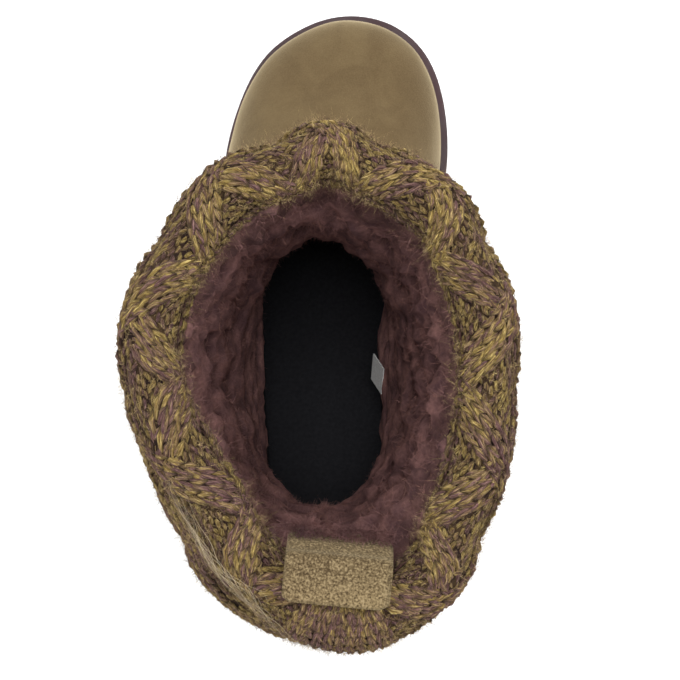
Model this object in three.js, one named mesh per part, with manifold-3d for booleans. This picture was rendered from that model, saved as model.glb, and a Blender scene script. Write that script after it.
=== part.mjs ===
// A left sweater boot: suede foot, cable-knit shaft rolled over the collar, plush lining,
// footbed, moulded sole, pull tab at the back of the collar and a blank label inside.
// Millimetres. +X is the medial side, +Y the toe, +Z up. The origin is the middle of the
// box's base, on the floor.

import * as THREE from "three";
import { mergeVertices } from "three/addons/utils/BufferGeometryUtils.js";
import Module from "manifold-3d";

// Foot and sole
const soleLength = 268;
const ballWidth = 103;
const heelThickness = 24;
const ballThickness = 15.5;
const toeThickness = 13;
const toeSpring = 9;
const archRise = 3;
const instepHeight = 100;
const forefootLean = -2.2;

// Shaft and collar
const bootHeight = 250;
const collarLength = 148.5;
const collarWidth = 109;
const collarSetback = 19;
const collarLean = -2.5;
const rollWidth = 20;
const rollHeight = 10;
const dentDepth = 6;
const slouch = 5.5;

// Walls
const suedeWall = 1.8;
const knitWall = 3.6;
const cableRise = 3;
const footPile = 7;
const shaftPile = 12;
const backPile = 20;
const pileTuft = 1.1;
const insoleThickness = 5;
const fitGap = 0.3;

// Side and tread of the sole
const soleStep = 1.8;
const soleBevel = 3;
const grooveDepth = 2.6;
const grooveWidth = 4;
const groovePitch = 14;
const grooveSag = 5;

// Cable lattice of the knit
const cableRepeats = 10;
const cablePeriod = 52;
const firstCrossing = 26;

// Pull tab and label
const tabWidth = 31;
const tabReach = 15.4;
const tabLean = 12;
const tabStandoff = 12.4;
const tabTail = 10;
const tabThickness = 3;
const tabLift = 0.3;
const tabShift = 3.3;
const tabTwist = THREE.MathUtils.degToRad(-5.5);
const labelLength = 13;
const labelHeight = 12;
const labelThickness = 1.4;
const labelLean = THREE.MathUtils.degToRad(9);
const labelGap = 0.3;

// Sampling of the surfaces
const columns = 40;
const knitColumns = 2 * columns;
const knitRings = 22;
const rollSteps = 6;
const soleColumns = 48;

const { clamp, lerp, smoothstep } = THREE.MathUtils;
const fullTurn = 2 * Math.PI;
const collarBase = bootHeight - rollHeight;

// Sole outline. turn goes from the heel, 0, to the toe, 180 degrees, and sets the place along
// the sole. medial and lateral are shares of half the ball width, from the heel's middle line.
const OUTLINE = [
  { turn: 0, medial: 0.0, lateral: 0.0 },
  { turn: 15, medial: 0.345, lateral: 0.345 },
  { turn: 30, medial: 0.61, lateral: 0.62 },
  { turn: 45, medial: 0.72, lateral: 0.735 },
  { turn: 60, medial: 0.735, lateral: 0.775 },
  { turn: 75, medial: 0.73, lateral: 0.82 },
  { turn: 90, medial: 0.8, lateral: 0.875 },
  { turn: 105, medial: 0.965, lateral: 0.93 },
  { turn: 120, medial: 1.085, lateral: 0.94 },
  { turn: 135, medial: 1.05, lateral: 0.8 },
  { turn: 150, medial: 0.89, lateral: 0.56 },
  { turn: 165, medial: 0.595, lateral: 0.185 },
  { turn: 180, medial: 0.21, lateral: -0.21 },
];

// Collar outline, in the same way: shares of half the collar's width, from its middle line.
const COLLAR = [
  { turn: 0, medial: 0.11, lateral: -0.11 },
  { turn: 15, medial: 0.35, lateral: 0.14 },
  { turn: 30, medial: 0.525, lateral: 0.335 },
  { turn: 45, medial: 0.73, lateral: 0.58 },
  { turn: 60, medial: 0.84, lateral: 0.73 },
  { turn: 75, medial: 0.935, lateral: 0.885 },
  { turn: 90, medial: 0.995, lateral: 1.025 },
  { turn: 105, medial: 0.975, lateral: 0.995 },
  { turn: 120, medial: 0.89, lateral: 0.885 },
  { turn: 135, medial: 0.76, lateral: 0.7 },
  { turn: 150, medial: 0.485, lateral: 0.465 },
  { turn: 165, medial: 0.245, lateral: 0.175 },
  { turn: 180, medial: 0.05, lateral: -0.05 },
];

// Rings of the foot, from the sole's edge up to the ankle. back and front are places along the
// sole, as shares of its length. backRise and frontRise are heights as shares of instepHeight,
// on top of the share of the sole's top line that the ring follows. heel and ball scale the
// sole outline, oval is the width of the leg's oval as a share of ballWidth, and foot says how
// much of the outline is left in the ring.
const FOOT_RINGS = [
  { back: 0.02, front: 0.973, backRise: 0, frontRise: 0, follow: 1, heel: 0.93, ball: 0.925, oval: 0.66, foot: 1 },
  { back: 0.011, front: 0.979, backRise: 0.168, frontRise: 0.15, follow: 0.8, heel: 0.955, ball: 0.94, oval: 0.66, foot: 1 },
  { back: 0.011, front: 0.969, backRise: 0.316, frontRise: 0.292, follow: 0.6, heel: 0.955, ball: 0.92, oval: 0.66, foot: 1 },
  { back: 0.016, front: 0.942, backRise: 0.444, frontRise: 0.41, follow: 0.4, heel: 0.95, ball: 0.865, oval: 0.66, foot: 0.98 },
  { back: 0.024, front: 0.897, backRise: 0.562, frontRise: 0.512, follow: 0.2, heel: 0.94, ball: 0.79, oval: 0.66, foot: 0.93 },
  { back: 0.033, front: 0.834, backRise: 0.675, frontRise: 0.61, follow: 0, heel: 0.935, ball: 0.72, oval: 0.7, foot: 0.84 },
  { back: 0.042, front: 0.763, backRise: 0.74, frontRise: 0.685, follow: 0, heel: 0.93, ball: 0.67, oval: 0.73, foot: 0.66 },
  { back: 0.051, front: 0.702, backRise: 0.81, frontRise: 0.785, follow: 0, heel: 0.93, ball: 0.66, oval: 0.76, foot: 0.45 },
  { back: 0.06, front: 0.658, backRise: 0.89, frontRise: 0.92, follow: 0, heel: 0.93, ball: 0.68, oval: 0.79, foot: 0.25 },
  { back: 0.067, front: 0.63, backRise: 0.99, frontRise: 1.08, follow: 0, heel: 0.94, ball: 0.7, oval: 0.825, foot: 0.1 },
];

// Rings of the shaft, from the ankle to the collar. back and front are how far the ring's ends
// lie from the collar's, as shares of collarLength; the rises are shares of the way up from
// instepHeight to the collar; oval is a share of collarWidth, and slack says how much of the
// collar's outline is in the ring.
const SHAFT_RINGS = [
  { back: 0, front: -0.02, backRise: 0.11, frontRise: 0.195, oval: 0.82, slack: 0.15 },
  { back: 0, front: -0.018, backRise: 0.27, frontRise: 0.355, oval: 0.89, slack: 0.4 },
  { back: -0.01, front: -0.012, backRise: 0.485, frontRise: 0.55, oval: 0.955, slack: 0.7 },
  { back: -0.015, front: -0.005, backRise: 0.73, frontRise: 0.76, oval: 0.995, slack: 0.9 },
  { back: 0, front: 0, backRise: 1, frontRise: 1, oval: 1, slack: 1 },
];

// Side of the sole, from the tread up: rise is the share of the way from tread to top, and
// step and bevel say how much of soleStep and soleBevel the side stands in there.
const SOLE_SIDE = [
  { rise: 0, step: 0, bevel: 1 },
  { rise: 0.16, step: 0.3, bevel: 0 },
  { rise: 0.5, step: 0.1, bevel: 0 },
  { rise: 0.55, step: 1, bevel: 0 },
  { rise: 0.63, step: 1, bevel: 0 },
  { rise: 0.68, step: 0, bevel: 0 },
  { rise: 0.93, step: 0, bevel: 0 },
  { rise: 1, step: 0.5, bevel: 0 },
];

// Levels at which the surfaces are sampled, counted in rings from the sole's edge.
const suedeTop = FOOT_RINGS.length - 1;
const hemLevel = suedeTop - 0.8;
const topLevel = FOOT_RINGS.length + SHAFT_RINGS.length - 1;
const LEVELS = [
  0, 0.5, 1, 2, 3, 4, 5, 6, 7, 8, hemLevel, suedeTop, suedeTop + 0.15,
  suedeTop + 1, suedeTop + 2, suedeTop + 3, suedeTop + 4, topLevel - 0.35,
];
const levelsBetween = (low, high) => LEVELS.filter((level) => level >= low && level <= high);

// Smooth curve through equally spaced values, at place t counted in values.
function smoothThrough(values, t) {
  const last = values.length - 1;
  const i = Math.min(Math.floor(clamp(t, 0, last)), last - 1);
  const u = clamp(t, 0, last) - i;
  const [p1, p2] = [values[i], values[i + 1]];
  const p0 = i > 0 ? values[i - 1] : 2 * p1 - p2;
  const p3 = i + 2 <= last ? values[i + 2] : 2 * p2 - p1;
  const bend = (2 * p0 - 5 * p1 + 4 * p2 - p3) * u * u + (3 * p1 - p0 - 3 * p2 + p3) * u * u * u;
  return p1 + 0.5 * ((p2 - p0) * u + bend);
}

// An outline's values once round: up the medial side and back down the lateral side.
const onceRound = (outline) => [
  ...outline.map((row) => row.medial),
  ...outline.slice(1, -1).reverse().map((row) => -row.lateral),
];
const soleRound = onceRound(OUTLINE);
const collarRound = onceRound(COLLAR);

// Place across an outline at a turn in radians, as a share of its half width.
function shareAt(values, turn) {
  const n = values.length;
  const t = ((((turn / fullTurn) % 1) + 1) % 1) * n;
  const i = Math.floor(t);
  const around = [-1, 0, 1, 2].map((k) => values[(i + k + n) % n]);
  return smoothThrough(around, 1 + t - i);
}

const alongShare = (turn) => (1 - Math.cos(turn)) / 2;

// Heights of the sole's tread side and top side at a place along it.
function soleBottom(y) {
  const along = y / soleLength;
  const arch = smoothstep(along, 0.3, 0.4) * (1 - smoothstep(along, 0.44, 0.56));
  return archRise * arch + toeSpring * smoothstep(along, 0.76, 1.12) * 2;
}

function soleTop(y) {
  const along = y / soleLength;
  const heel = 1 - smoothstep(along, 0.18, 0.64);
  const toe = smoothstep(along, 0.72, 1.06);
  const toeTop = 2 * toeSpring * smoothstep(1, 0.76, 1.12) + toeThickness;
  return ballThickness + (heelThickness - ballThickness) * heel + (toeTop - ballThickness) * toe;
}

// Rings in millimetres, ready to be interpolated.
const rings = [
  ...FOOT_RINGS.map((row) => ({
    back: row.back * soleLength,
    front: row.front * soleLength,
    backHeight: row.backRise * instepHeight,
    frontHeight: row.frontRise * instepHeight,
    follow: row.follow,
    heel: (row.heel * ballWidth) / 2,
    ball: (row.ball * ballWidth) / 2,
    oval: (row.oval * ballWidth) / 2,
    foot: row.foot,
    slack: 0,
  })),
  ...SHAFT_RINGS.map((row) => ({
    back: collarSetback + row.back * collarLength,
    front: collarSetback + (1 + row.front) * collarLength,
    backHeight: lerp(instepHeight, collarBase, row.backRise),
    frontHeight: lerp(instepHeight, collarBase, row.frontRise),
    follow: 0,
    heel: collarWidth / 2,
    ball: collarWidth / 2,
    oval: (row.oval * collarWidth) / 2,
    foot: 0,
    slack: row.slack,
  })),
];

const ringAt = (level) =>
  Object.fromEntries(
    Object.keys(rings[0]).map((key) => [key, smoothThrough(rings.map((ring) => ring[key]), level)]),
  );

// The slack shaft slouches out at the back of its lateral side, and its collar is pressed in.
function dentAt(turn, level) {
  const dentTurn = -fullTurn * 0.13;
  const dentSpread = fullTurn * 0.115;
  const away = Math.atan2(Math.sin(turn - dentTurn), Math.cos(turn - dentTurn));
  const pressed = smoothstep(level, suedeTop + 3.6, topLevel);
  const out = smoothstep(level, suedeTop + 1, suedeTop + 3) * (1 - pressed);
  return (dentDepth * pressed - slouch * out) * Math.exp(-((away / dentSpread) ** 2));
}

// Base surface of the boot: the outside of the suede, and higher up the inside of the knit.
function basePoint(turn, level) {
  const ring = ringAt(level);
  const share = alongShare(turn);
  const y = lerp(ring.back, ring.front, share);
  const leg = 1 - ring.foot;
  const forward = smoothstep(share, 0.1, 0.8);
  const outline = shareAt(soleRound, turn) * lerp(ring.heel, ring.ball, forward);
  const oval = lerp(Math.sin(turn), shareAt(collarRound, turn), ring.slack) * ring.oval;
  const lean = lerp(collarLean, forefootLean * forward, ring.foot);
  const x = ring.foot * outline + leg * oval + lean;
  const slope = lerp(ring.backHeight, ring.frontHeight, share);
  const z = ring.follow * (soleTop(y) + fitGap) + slope;
  const dent = dentAt(turn, level);
  const inward = new THREE.Vector2(-Math.sin(turn) * collarLength, Math.cos(turn) * collarWidth);
  inward.normalize().multiplyScalar(dent);
  return new THREE.Vector3(x + inward.x, y + inward.y, z);
}

// Outward normal of the base surface; it is level at the sole's edge.
function baseNormal(turn, level) {
  const step = 1e-3;
  const low = Math.max(level - step, 0);
  const high = Math.min(level + step, topLevel);
  const round = basePoint(turn + step, level).sub(basePoint(turn - step, level));
  const up = basePoint(turn, high).sub(basePoint(turn, low));
  const normal = round.cross(up).normalize();
  normal.z *= Math.min(level, 1);
  return normal.normalize();
}

const onBoot = (turn, level, offset) =>
  basePoint(turn, level).addScaledVector(baseNormal(turn, level), offset);

// A point near the collar: offset level and outwards from its ring, rise above it.
function onCollar(turn, offset, rise) {
  const normal = baseNormal(turn, topLevel).setZ(0).normalize();
  const point = basePoint(turn, topLevel).addScaledVector(normal, offset);
  point.z += rise;
  return point;
}

const ring = (count, place) =>
  Array.from({ length: count }, (_, i) => place((fullTurn * i) / count));

// Triangles between two rings of one count, or of which one has twice the other's count.
// Inner walls are split along the other diagonal, so that they lie along the outer ones.
function bridge(a, b, startA, startB, isInner, faces) {
  const few = Math.min(a.length, b.length);
  const [stepA, stepB] = [a.length / few, b.length / few];
  for (let i = 0; i < few; i++) {
    const a0 = startA + i * stepA;
    const a1 = startA + ((i + 1) * stepA) % a.length;
    const b0 = startB + i * stepB;
    const b1 = startB + ((i + 1) * stepB) % b.length;
    if (stepA === 2) {
      faces.push(a0, a0 + 1, b0, a0 + 1, a1, b1, a0 + 1, b1, b0);
    } else if (stepB === 2) {
      faces.push(a0, b0 + 1, b0, a0, a1, b0 + 1, a1, b1, b0 + 1);
    } else if (isInner) {
      faces.push(a0, a1, b0, a1, b1, b0);
    } else {
      faces.push(a0, a1, b1, a0, b1, b0);
    }
  }
}

// Triangles that close a ring, in strips across from its medial to its lateral side.
function cap(count, start, facesUp, faces) {
  for (let i = 0; i < count / 2; i++) {
    const corners = [i, i + 1, count - i - 1, (count - i) % count].map((k) => start + k);
    const [p, q, r, s] = facesUp ? corners : corners.reverse();
    if (p !== q && q !== r && p !== r) faces.push(p, q, r);
    if (p !== r && r !== s && p !== s) faces.push(p, r, s);
  }
}

// A closed body through rings, with both ends capped.
function solidThrough(list) {
  const starts = list.map((_, i) => list.slice(0, i).reduce((sum, r) => sum + r.length, 0));
  const faces = [];
  for (let i = 0; i + 1 < list.length; i++) {
    bridge(list[i], list[i + 1], starts[i], starts[i + 1], false, faces);
  }
  cap(list[0].length, 0, false, faces);
  cap(list.at(-1).length, starts.at(-1), true, faces);
  return faceted(list.flat(), faces);
}

// A closed wall, up through the outer rings and back down through the inner ones.
function wallThrough(outer, inner) {
  const list = [...outer, ...inner];
  const starts = list.map((_, i) => list.slice(0, i).reduce((sum, r) => sum + r.length, 0));
  const faces = [];
  for (let i = 0; i < list.length; i++) {
    const next = (i + 1) % list.length;
    bridge(list[i], list[next], starts[i], starts[next], i >= outer.length, faces);
  }
  return faceted(list.flat(), faces);
}

function faceted(points, faces) {
  const geometry = new THREE.BufferGeometry().setFromPoints(points);
  geometry.setIndex(faces);
  geometry.computeVertexNormals();
  return geometry;
}

// Sole

// A point of the sole's outline, set in by inset, at height z.
function soleEdge(turn, inset, height) {
  const place = (t) =>
    new THREE.Vector2((shareAt(soleRound, t) * ballWidth) / 2, alongShare(t) * soleLength);
  const step = 1e-3;
  const along = place(turn + step).sub(place(turn - step)).normalize();
  const point = place(turn).add(new THREE.Vector2(-along.y, along.x).multiplyScalar(inset));
  return new THREE.Vector3(point.x, point.y, height(point.y));
}

function soleBody() {
  const list = SOLE_SIDE.map((row) => {
    const inset = row.step * soleStep + row.bevel * soleBevel;
    const height = (y) => lerp(soleBottom(y), soleTop(y), row.rise);
    return ring(soleColumns, (turn) => soleEdge(turn, inset, height));
  });
  return solidThrough(list);
}

// A bowed bar across the tread, centred at y, that cuts one groove.
function grooveBar(y) {
  const reach = ballWidth;
  const bow = new THREE.Shape();
  bow.moveTo(-reach, -grooveWidth / 2);
  bow.quadraticCurveTo(0, 2 * grooveSag - grooveWidth / 2, reach, -grooveWidth / 2);
  bow.lineTo(reach, grooveWidth / 2);
  bow.quadraticCurveTo(0, 2 * grooveSag + grooveWidth / 2, -reach, grooveWidth / 2);
  const floor = soleBottom(y) + grooveDepth;
  const geometry = new THREE.ExtrudeGeometry(bow, {
    depth: 2 * ballThickness,
    curveSegments: 8,
    bevelEnabled: false,
  });
  return geometry.translate(0, y - grooveSag, floor - 2 * ballThickness);
}

// Two rows of grooves, under the heel and under the forefoot.
function groovePlaces() {
  const heel = [0.06, 0.26];
  const forefoot = [0.54, 0.9];
  return [heel, forefoot].flatMap(([from, to]) => {
    const count = Math.floor(((to - from) * soleLength) / groovePitch) + 1;
    return Array.from({ length: count }, (_, i) => from * soleLength + i * groovePitch);
  });
}

const wasm = await Module();
wasm.setup();

function toSolid(geometry) {
  const bare = geometry.clone();
  bare.deleteAttribute("normal");
  bare.deleteAttribute("uv");
  const merged = mergeVertices(bare, 1e-4);
  return new wasm.Manifold(
    new wasm.Mesh({
      numProp: 3,
      vertProperties: new Float32Array(merged.attributes.position.array),
      triVerts: new Uint32Array(merged.index.array),
    }),
  );
}

function toGeometry(solid) {
  const mesh = solid.getMesh();
  const geometry = new THREE.BufferGeometry();
  geometry.setAttribute("position", new THREE.BufferAttribute(mesh.vertProperties, 3));
  geometry.setIndex(new THREE.BufferAttribute(mesh.triVerts, 1));
  geometry.computeVertexNormals();
  return geometry;
}

function outsoleGeometry() {
  const bars = groovePlaces().map((y) => toSolid(grooveBar(y)));
  return toGeometry(bars.reduce((body, bar) => body.subtract(bar), toSolid(soleBody())));
}

// Suede foot: one wall from the sole's edge to the ankle, open at both.
function suedeGeometry() {
  const levels = levelsBetween(0, suedeTop);
  const outside = levels.map((level) => ring(columns, (turn) => onBoot(turn, level, 0)));
  const inside = levels.map((level) => ring(columns, (turn) => onBoot(turn, level, -suedeWall)));
  return wallThrough(outside, inside.reverse());
}

// Relief of the cables, 0 to 1, at a turn and at a distance down from the collar's inner edge.
// Two sets of ribs slant across each other and leave diamonds between; the back is plain.
function cableRelief(turn, down) {
  const across = (turn / fullTurn) * cableRepeats;
  const along = (down - firstCrossing) / cablePeriod;
  const rib = (place) => 1 - smoothstep(Math.abs(place - Math.round(place)), 0.1, 0.32);
  const plain = 1 - smoothstep(Math.abs(Math.sin(turn / 2)) * cableRepeats, 1.1, 1.9);
  const lattice = Math.max(rib(across - along), rib(across + along));
  return lerp(lattice, 0.6, plain);
}

// Knit shaft: the wall with its cables, the roll over the collar and the lip inside it. The
// wall is thinner at its hem on the suede.
function knitGeometry() {
  const rollLength = (Math.PI * (rollWidth + 2 * rollHeight)) / 4;
  const outerFace = fitGap + knitWall + cableRise;
  const wall = Array.from({ length: knitRings }, (_, i) => {
    const level = lerp(hemLevel, topLevel, i / knitRings);
    const full = smoothstep(i, -0.5, 1.5);
    return ring(knitColumns, (turn) => {
      const down = rollLength + collarBase - basePoint(turn, level).z;
      const thickness = knitWall * lerp(0.4, 1, full) + cableRise * full * cableRelief(turn, down);
      return onBoot(turn, level, fitGap + thickness);
    });
  });
  const roll = Array.from({ length: rollSteps + 1 }, (_, i) => {
    const angle = (Math.PI * i) / rollSteps;
    return ring(knitColumns, (turn) => {
      const relief = cableRelief(turn, rollLength * (1 - i / rollSteps));
      const sunk = cableRise * (1 - relief) * lerp(1, 0.4, i / rollSteps);
      const across = (rollWidth / 2 - sunk) * Math.cos(angle);
      const middle = outerFace - rollWidth / 2;
      return onCollar(turn, middle + across, (rollHeight - sunk) * Math.sin(angle));
    });
  });
  const under = [outerFace - rollWidth + 2 * fitGap + cableRise, fitGap].map((offset) =>
    ring(columns, (turn) => onCollar(turn, offset, -rollHeight * 0.3)),
  );
  const inside = levelsBetween(hemLevel, topLevel).map((level) =>
    ring(columns, (turn) => onBoot(turn, level, fitGap)),
  );
  return wallThrough([...wall, ...roll, ...under], inside.reverse());
}

// Plush lining: a sock without a bottom, thinner along the foot, with tufts inside. It slumps
// inward at the back of the shaft.
function liningOuter(level) {
  return level <= suedeTop ? -(suedeWall + fitGap) : 0;
}

function liningInner(turn, level) {
  const up = smoothstep(level, suedeTop - 2, suedeTop + 2);
  const shown = smoothstep(level, 1, 4);
  const tuft = Math.sin(9 * turn + 2.1 * level) * Math.sin(5 * turn - 2.7 * level);
  const behind = Math.exp(-((Math.sin(turn / 2) / 0.48) ** 2));
  const crease = 1 - 0.25 * Math.exp(-((Math.sin(turn / 2) / 0.07) ** 2));
  const slumped = smoothstep(level, suedeTop - 2, suedeTop) * (1 - smoothstep(level, topLevel - 2, topLevel));
  const depth = lerp(suedeWall + fitGap + footPile, shaftPile, up) + backPile * behind * crease * slumped;
  return -depth + pileTuft * shown * tuft;
}

function liningGeometry() {
  const levels = levelsBetween(0, topLevel);
  const topDrop = -rollHeight * 0.3 - fitGap;
  const outside = levels.map((level) =>
    ring(columns, (turn) => onBoot(turn, level, liningOuter(level))),
  );
  const topRings = [(turn) => 0 * turn, (turn) => liningInner(turn, topLevel)].map((offset) =>
    ring(columns, (turn) => onCollar(turn, offset(turn), topDrop)),
  );
  const inside = levels.map((level) =>
    ring(columns, (turn) => onBoot(turn, level, liningInner(turn, level))),
  );
  return wallThrough([...outside, ...topRings], inside.reverse());
}

// Insole: a plate on the sole, inside the lining's bottom edge.
function insoleGeometry() {
  const inset = -(suedeWall + fitGap + footPile + 2 * fitGap);
  const bottom = (y) => soleTop(y) + fitGap;
  const atHeight = (extra, lift) =>
    ring(columns, (turn) => {
      const point = onBoot(turn, 0, inset - extra);
      point.z = bottom(point.y) + lift;
      return point;
    });
  const edge = 0.8;
  const list = [atHeight(0, 0), atHeight(0, insoleThickness - edge), atHeight(edge, insoleThickness)];
  return solidThrough(list);
}

// Pull tab: a folded strip that comes up inside the collar, leans in and lies back over it.
function tabGeometry() {
  const half = tabThickness / 2;
  const face = onCollar(0, liningInner(0, topLevel) - pileTuft - fitGap, 0).y + half;
  const lipY = onCollar(0, fitGap + knitWall + cableRise - rollWidth, 0).y;
  const start = Math.max(face, lipY + half) + tabStandoff;
  const bendRadius = 0.85 * tabThickness;
  const top = bootHeight + fitGap + tabLift + half;
  const bend = new THREE.Vector2(lipY + tabLean - bendRadius, top - bendRadius);
  const foot = collarBase - rollHeight * 0.3 - tabTail;
  const path = new THREE.Path();
  path.moveTo(start, foot);
  path.lineTo(start, collarBase);
  const [rise, enter] = [bend.y - collarBase, -0.1 * Math.PI];
  const arcStart = new THREE.Vector2(Math.cos(enter), Math.sin(enter)).multiplyScalar(bendRadius);
  arcStart.add(bend);
  path.bezierCurveTo(
    start, collarBase + 0.35 * rise,
    arcStart.x + 0.3 * rise * Math.sin(enter), arcStart.y - 0.3 * rise * Math.cos(enter),
    arcStart.x, arcStart.y,
  );
  path.absarc(bend.x, bend.y, bendRadius, enter, Math.PI / 2, false);
  path.lineTo(bend.x + bendRadius - tabReach, top);
  const side = (from, to, steps, offset) =>
    Array.from({ length: steps + 1 }, (_, i) => {
      const u = lerp(from, to, i / steps);
      const along = path.getTangentAt(u);
      return path.getPointAt(u).add(new THREE.Vector2(-along.y, along.x).multiplyScalar(offset));
    });
  const left = side(0, 1, 26, half);
  const right = side(0, 1, 26, -half).reverse();
  const foldEnd = path.getPointAt(1).addScaledVector(path.getTangentAt(1), half);
  const outline = new THREE.Shape([...left, foldEnd, ...right]);
  const geometry = new THREE.ExtrudeGeometry(outline, { depth: tabWidth, bevelEnabled: false });
  geometry.translate(0, 0, -tabWidth / 2);
  const upright = new THREE.Matrix4().makeBasis(
    new THREE.Vector3(0, 1, 0),
    new THREE.Vector3(0, 0, 1),
    new THREE.Vector3(1, 0, 0),
  );
  return geometry.applyMatrix4(upright);
}

// Blank label that hangs from the lining's medial side and leans in towards the foot.
function placeLabel(mesh) {
  const [turn, level, reach] = [fullTurn * 0.235, 6.2, 0.4];
  const onLining = (height) => onBoot(turn, height, liningInner(turn, height));
  const wall = onLining(level + reach).sub(onLining(level - reach)).normalize();
  const along = new THREE.Vector3().crossVectors(wall, baseNormal(turn, level)).normalize();
  const up = wall.clone().applyAxisAngle(along, labelLean);
  const out = new THREE.Vector3().crossVectors(along, up);
  mesh.setRotationFromMatrix(new THREE.Matrix4().makeBasis(out, along, up));
  const seam = onLining(level).addScaledVector(out, -labelGap - labelThickness / 2);
  mesh.position.copy(seam).addScaledVector(up, -labelHeight / 2);
}

const suede = new THREE.MeshStandardMaterial({ color: 0x8a7650, roughness: 0.95 });
const knit = new THREE.MeshStandardMaterial({ color: 0x74604a, roughness: 1 });
const plush = new THREE.MeshStandardMaterial({ color: 0x4f3735, roughness: 1 });
const rubber = new THREE.MeshStandardMaterial({ color: 0x453435, roughness: 0.7 });
const foam = new THREE.MeshStandardMaterial({ color: 0x17181a, roughness: 0.9 });
const ribbon = new THREE.MeshStandardMaterial({ color: 0xc9c9c6, roughness: 0.8 });

function piece(name, geometry, material) {
  const mesh = new THREE.Mesh(geometry, material);
  mesh.name = name;
  return mesh;
}

const outsole = piece("outsole", outsoleGeometry(), rubber);
const suedeFoot = piece("suede_foot", suedeGeometry(), suede);
const knitShaft = piece("knit_shaft", knitGeometry(), knit);
const lining = piece("plush_lining", liningGeometry(), plush);
const insole = piece("insole", insoleGeometry(), foam);

const tabPivot = onCollar(0, 0, 0).y;
const pullTab = piece("pull_tab", tabGeometry().translate(0, -tabPivot, 0), suede);
pullTab.position.set(collarLean + tabShift, tabPivot, 0);
pullTab.rotation.z = tabTwist;

const labelGeometry = new THREE.BoxGeometry(labelThickness, labelLength, labelHeight);
const label = piece("inside_label", labelGeometry, ribbon);
placeLabel(label);

const boot = new THREE.Group();
boot.add(outsole, suedeFoot, knitShaft, lining, insole, pullTab, label);

// Moves the boot so that the origin is the middle of its box's base.
const box = new THREE.Box3().setFromObject(boot, true);
const middle = box.getCenter(new THREE.Vector3());
boot.position.set(-middle.x, -middle.y, -box.min.z);

export default boot;
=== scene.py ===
"""Looks of the left sweater boot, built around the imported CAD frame."""

import math

import bmesh
import bpy
import numpy as np
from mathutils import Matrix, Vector


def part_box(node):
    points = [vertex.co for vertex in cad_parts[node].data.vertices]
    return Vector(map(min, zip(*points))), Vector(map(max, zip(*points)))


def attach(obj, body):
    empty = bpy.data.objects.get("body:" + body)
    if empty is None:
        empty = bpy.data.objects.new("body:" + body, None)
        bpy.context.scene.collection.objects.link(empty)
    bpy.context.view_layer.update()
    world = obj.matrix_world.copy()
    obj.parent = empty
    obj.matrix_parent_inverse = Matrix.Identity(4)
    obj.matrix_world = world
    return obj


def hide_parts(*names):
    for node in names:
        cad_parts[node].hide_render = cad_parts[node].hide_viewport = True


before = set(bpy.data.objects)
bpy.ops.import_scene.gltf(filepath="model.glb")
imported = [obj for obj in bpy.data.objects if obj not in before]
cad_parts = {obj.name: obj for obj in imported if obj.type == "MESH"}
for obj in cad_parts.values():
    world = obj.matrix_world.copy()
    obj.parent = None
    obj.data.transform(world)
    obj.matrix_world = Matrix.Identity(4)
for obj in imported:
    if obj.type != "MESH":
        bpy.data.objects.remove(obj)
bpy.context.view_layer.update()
rng = np.random.default_rng(7)
MM = 0.001
TURN = 2 * math.pi

# Sizes of the boot in millimetres, as in the CAD part.
SOLE_LENGTH = 268
BALL_WIDTH = 103
HEEL_THICKNESS = 24
BALL_THICKNESS = 15.5
TOE_THICKNESS = 13
TOE_SPRING = 9
ARCH_RISE = 3
INSTEP_HEIGHT = 100
FOREFOOT_LEAN = -2.2
BOOT_HEIGHT = 250
COLLAR_LENGTH = 148.5
COLLAR_WIDTH = 109
COLLAR_SETBACK = 19
COLLAR_LEAN = -2.5
ROLL_WIDTH = 20
ROLL_HEIGHT = 10
DENT_DEPTH = 6
SLOUCH = 5.5
SUEDE_WALL = 1.8
KNIT_WALL = 3.6
CABLE_RISE = 3.0
FOOT_PILE = 7
SHAFT_PILE = 12
BACK_PILE = 20
PILE_TUFT = 1.1
FIT_GAP = 0.3
SOLE_STEP = 1.8
SOLE_BEVEL = 3
GROOVE_DEPTH = 2.6
GROOVE_WIDTH = 4
GROOVE_PITCH = 14
GROOVE_SAG = 5
CABLE_REPEATS = 10
CABLE_PERIOD = 52
FIRST_CROSSING = 26
TAB_WIDTH = 31
TAB_REACH = 15.4
TAB_LEAN = 12
TAB_STANDOFF = 12.4
TAB_TAIL = 10
TAB_THICKNESS = 3
TAB_LIFT = 0.3
TAB_SHIFT = 3.3
TAB_TWIST = math.radians(-5.5)

# Where the looks depart from the solids, in millimetres: the suede's shift to the medial side at
# the toe, the tab's fold, and the label's thinning (a share) and swing to the wall.
TOE_SHIFT = 1.6
TAB_SET_BACK = 2.0
RIBBON_THINNED = 0.7
RIBBON_SWING = 1.9

COLLAR_BASE = BOOT_HEIGHT - ROLL_HEIGHT
ROLL_TUCK = 0.3 * ROLL_HEIGHT
ROLL_LENGTH = math.pi * (ROLL_WIDTH + 2 * ROLL_HEIGHT) / 4
OUTER_FACE = FIT_GAP + KNIT_WALL + CABLE_RISE

# Sole outline: medial and lateral shares of half the ball width, every 15 degrees from the heel.
MEDIAL = [0.0, 0.345, 0.61, 0.72, 0.735, 0.73, 0.8, 0.965, 1.085, 1.05, 0.89, 0.595, 0.21]
LATERAL = [0.0, 0.345, 0.62, 0.735, 0.775, 0.82, 0.875, 0.93, 0.94, 0.8, 0.56, 0.185, -0.21]
# Collar outline, in the same way, as shares of half the collar's width.
COLLAR_MEDIAL = [
    0.11, 0.35, 0.525, 0.73, 0.84, 0.935, 0.995, 0.975, 0.89, 0.76, 0.485, 0.245, 0.05,
]
COLLAR_LATERAL = [
    -0.11, 0.14, 0.335, 0.58, 0.73, 0.885, 1.025, 0.995, 0.885, 0.7, 0.465, 0.175, -0.05,
]

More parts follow.
